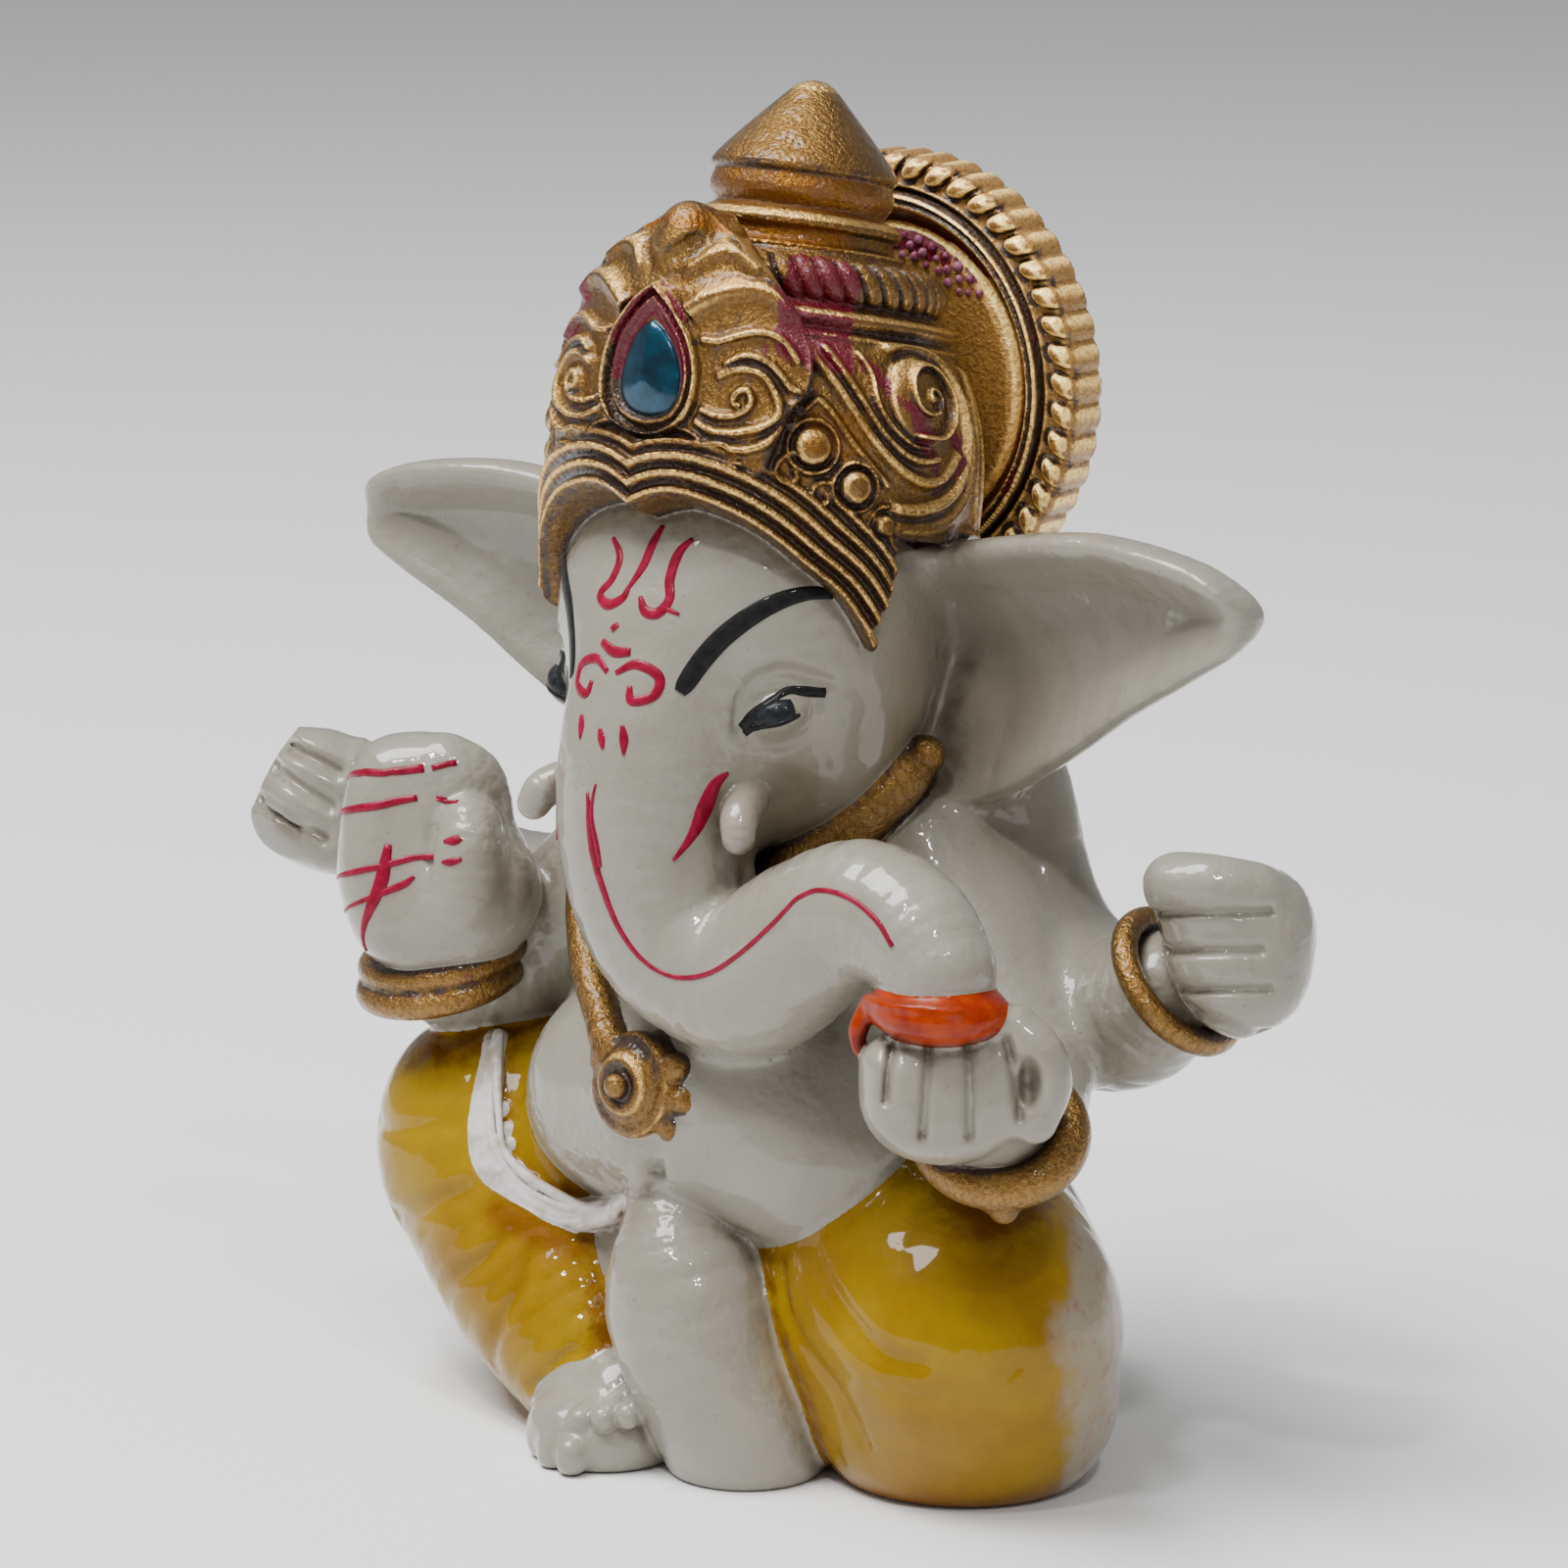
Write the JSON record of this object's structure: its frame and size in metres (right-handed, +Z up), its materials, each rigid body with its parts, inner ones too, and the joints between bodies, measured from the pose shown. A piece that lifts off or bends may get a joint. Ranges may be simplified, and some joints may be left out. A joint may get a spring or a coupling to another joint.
{
  "type": "seated elephant-headed deity figurine",
  "caption": "Palm-sized seated four-armed Ganesha idol in glazed white with yellow dhoti, gold crown and round halo; rests on its flat underside.",
  "frame": {"origin": "on the flat underside, below the figure's middle", "axes": "+Z up, the figure faces -Y, its own left side is +X"},
  "size_m": [0.07, 0.0319, 0.0725],
  "materials": {
    "glazed_white": "thick clear glaze over off-white cast body, small pits and hollows stained warm grey",
    "yellow_paint": "glossy yellow with orange-brown brushed into the folds",
    "gold_paint": "antique metallic gold paint, brown in the recesses, crimson in some hollows",
    "orange_paint": "glossy orange-red paint",
    "blue_enamel": "glossy metallic blue enamel",
    "white_brushwork": "thick streaky white brushed paint"
  },
  "bodies": {
    "root": {"arm_front_left": "glazed_white", "arm_front_right": "glazed_white", "arm_rear_left": "glazed_white", "arm_rear_right": "glazed_white", "bangle_front_left": "gold_paint", "bangle_front_right_lower": "gold_paint", "bangle_front_right_upper": "gold_paint", "bangle_rear_left": "gold_paint", "bangle_rear_right": "gold_paint", "crown_brim": "gold_paint", "crown_collar": "gold_paint", "crown_dome": "gold_paint", "crown_finial": "gold_paint", "crown_front_plate": "gold_paint", "crown_gem": "blue_enamel", "crown_ring": "gold_paint", "crown_rope_ring": "gold_paint", "crown_scroll_left": "gold_paint", "crown_scroll_right": "gold_paint", "dhoti_left": "yellow_paint", "dhoti_right": "yellow_paint", "ear_left": "glazed_white", "ear_right": "glazed_white", "foot_right": "glazed_white", "halo_border": "gold_paint", "halo_disc": "gold_paint", "halo_ring": "gold_paint", "hand_front_left": "glazed_white", "hand_front_right": "glazed_white", "hand_rear_left": "glazed_white", "hand_rear_right": "glazed_white", "head": "glazed_white", "hips": "glazed_white", "leg_left": "glazed_white", "necklace_left": "gold_paint", "necklace_right": "gold_paint", "pendant": "gold_paint", "sweet": "orange_paint", "torso": "glazed_white", "trunk": "glazed_white", "tusk_left": "glazed_white", "tusk_right": "glazed_white", "waist_sash": "white_brushwork"}
  },
  "joints": []
}
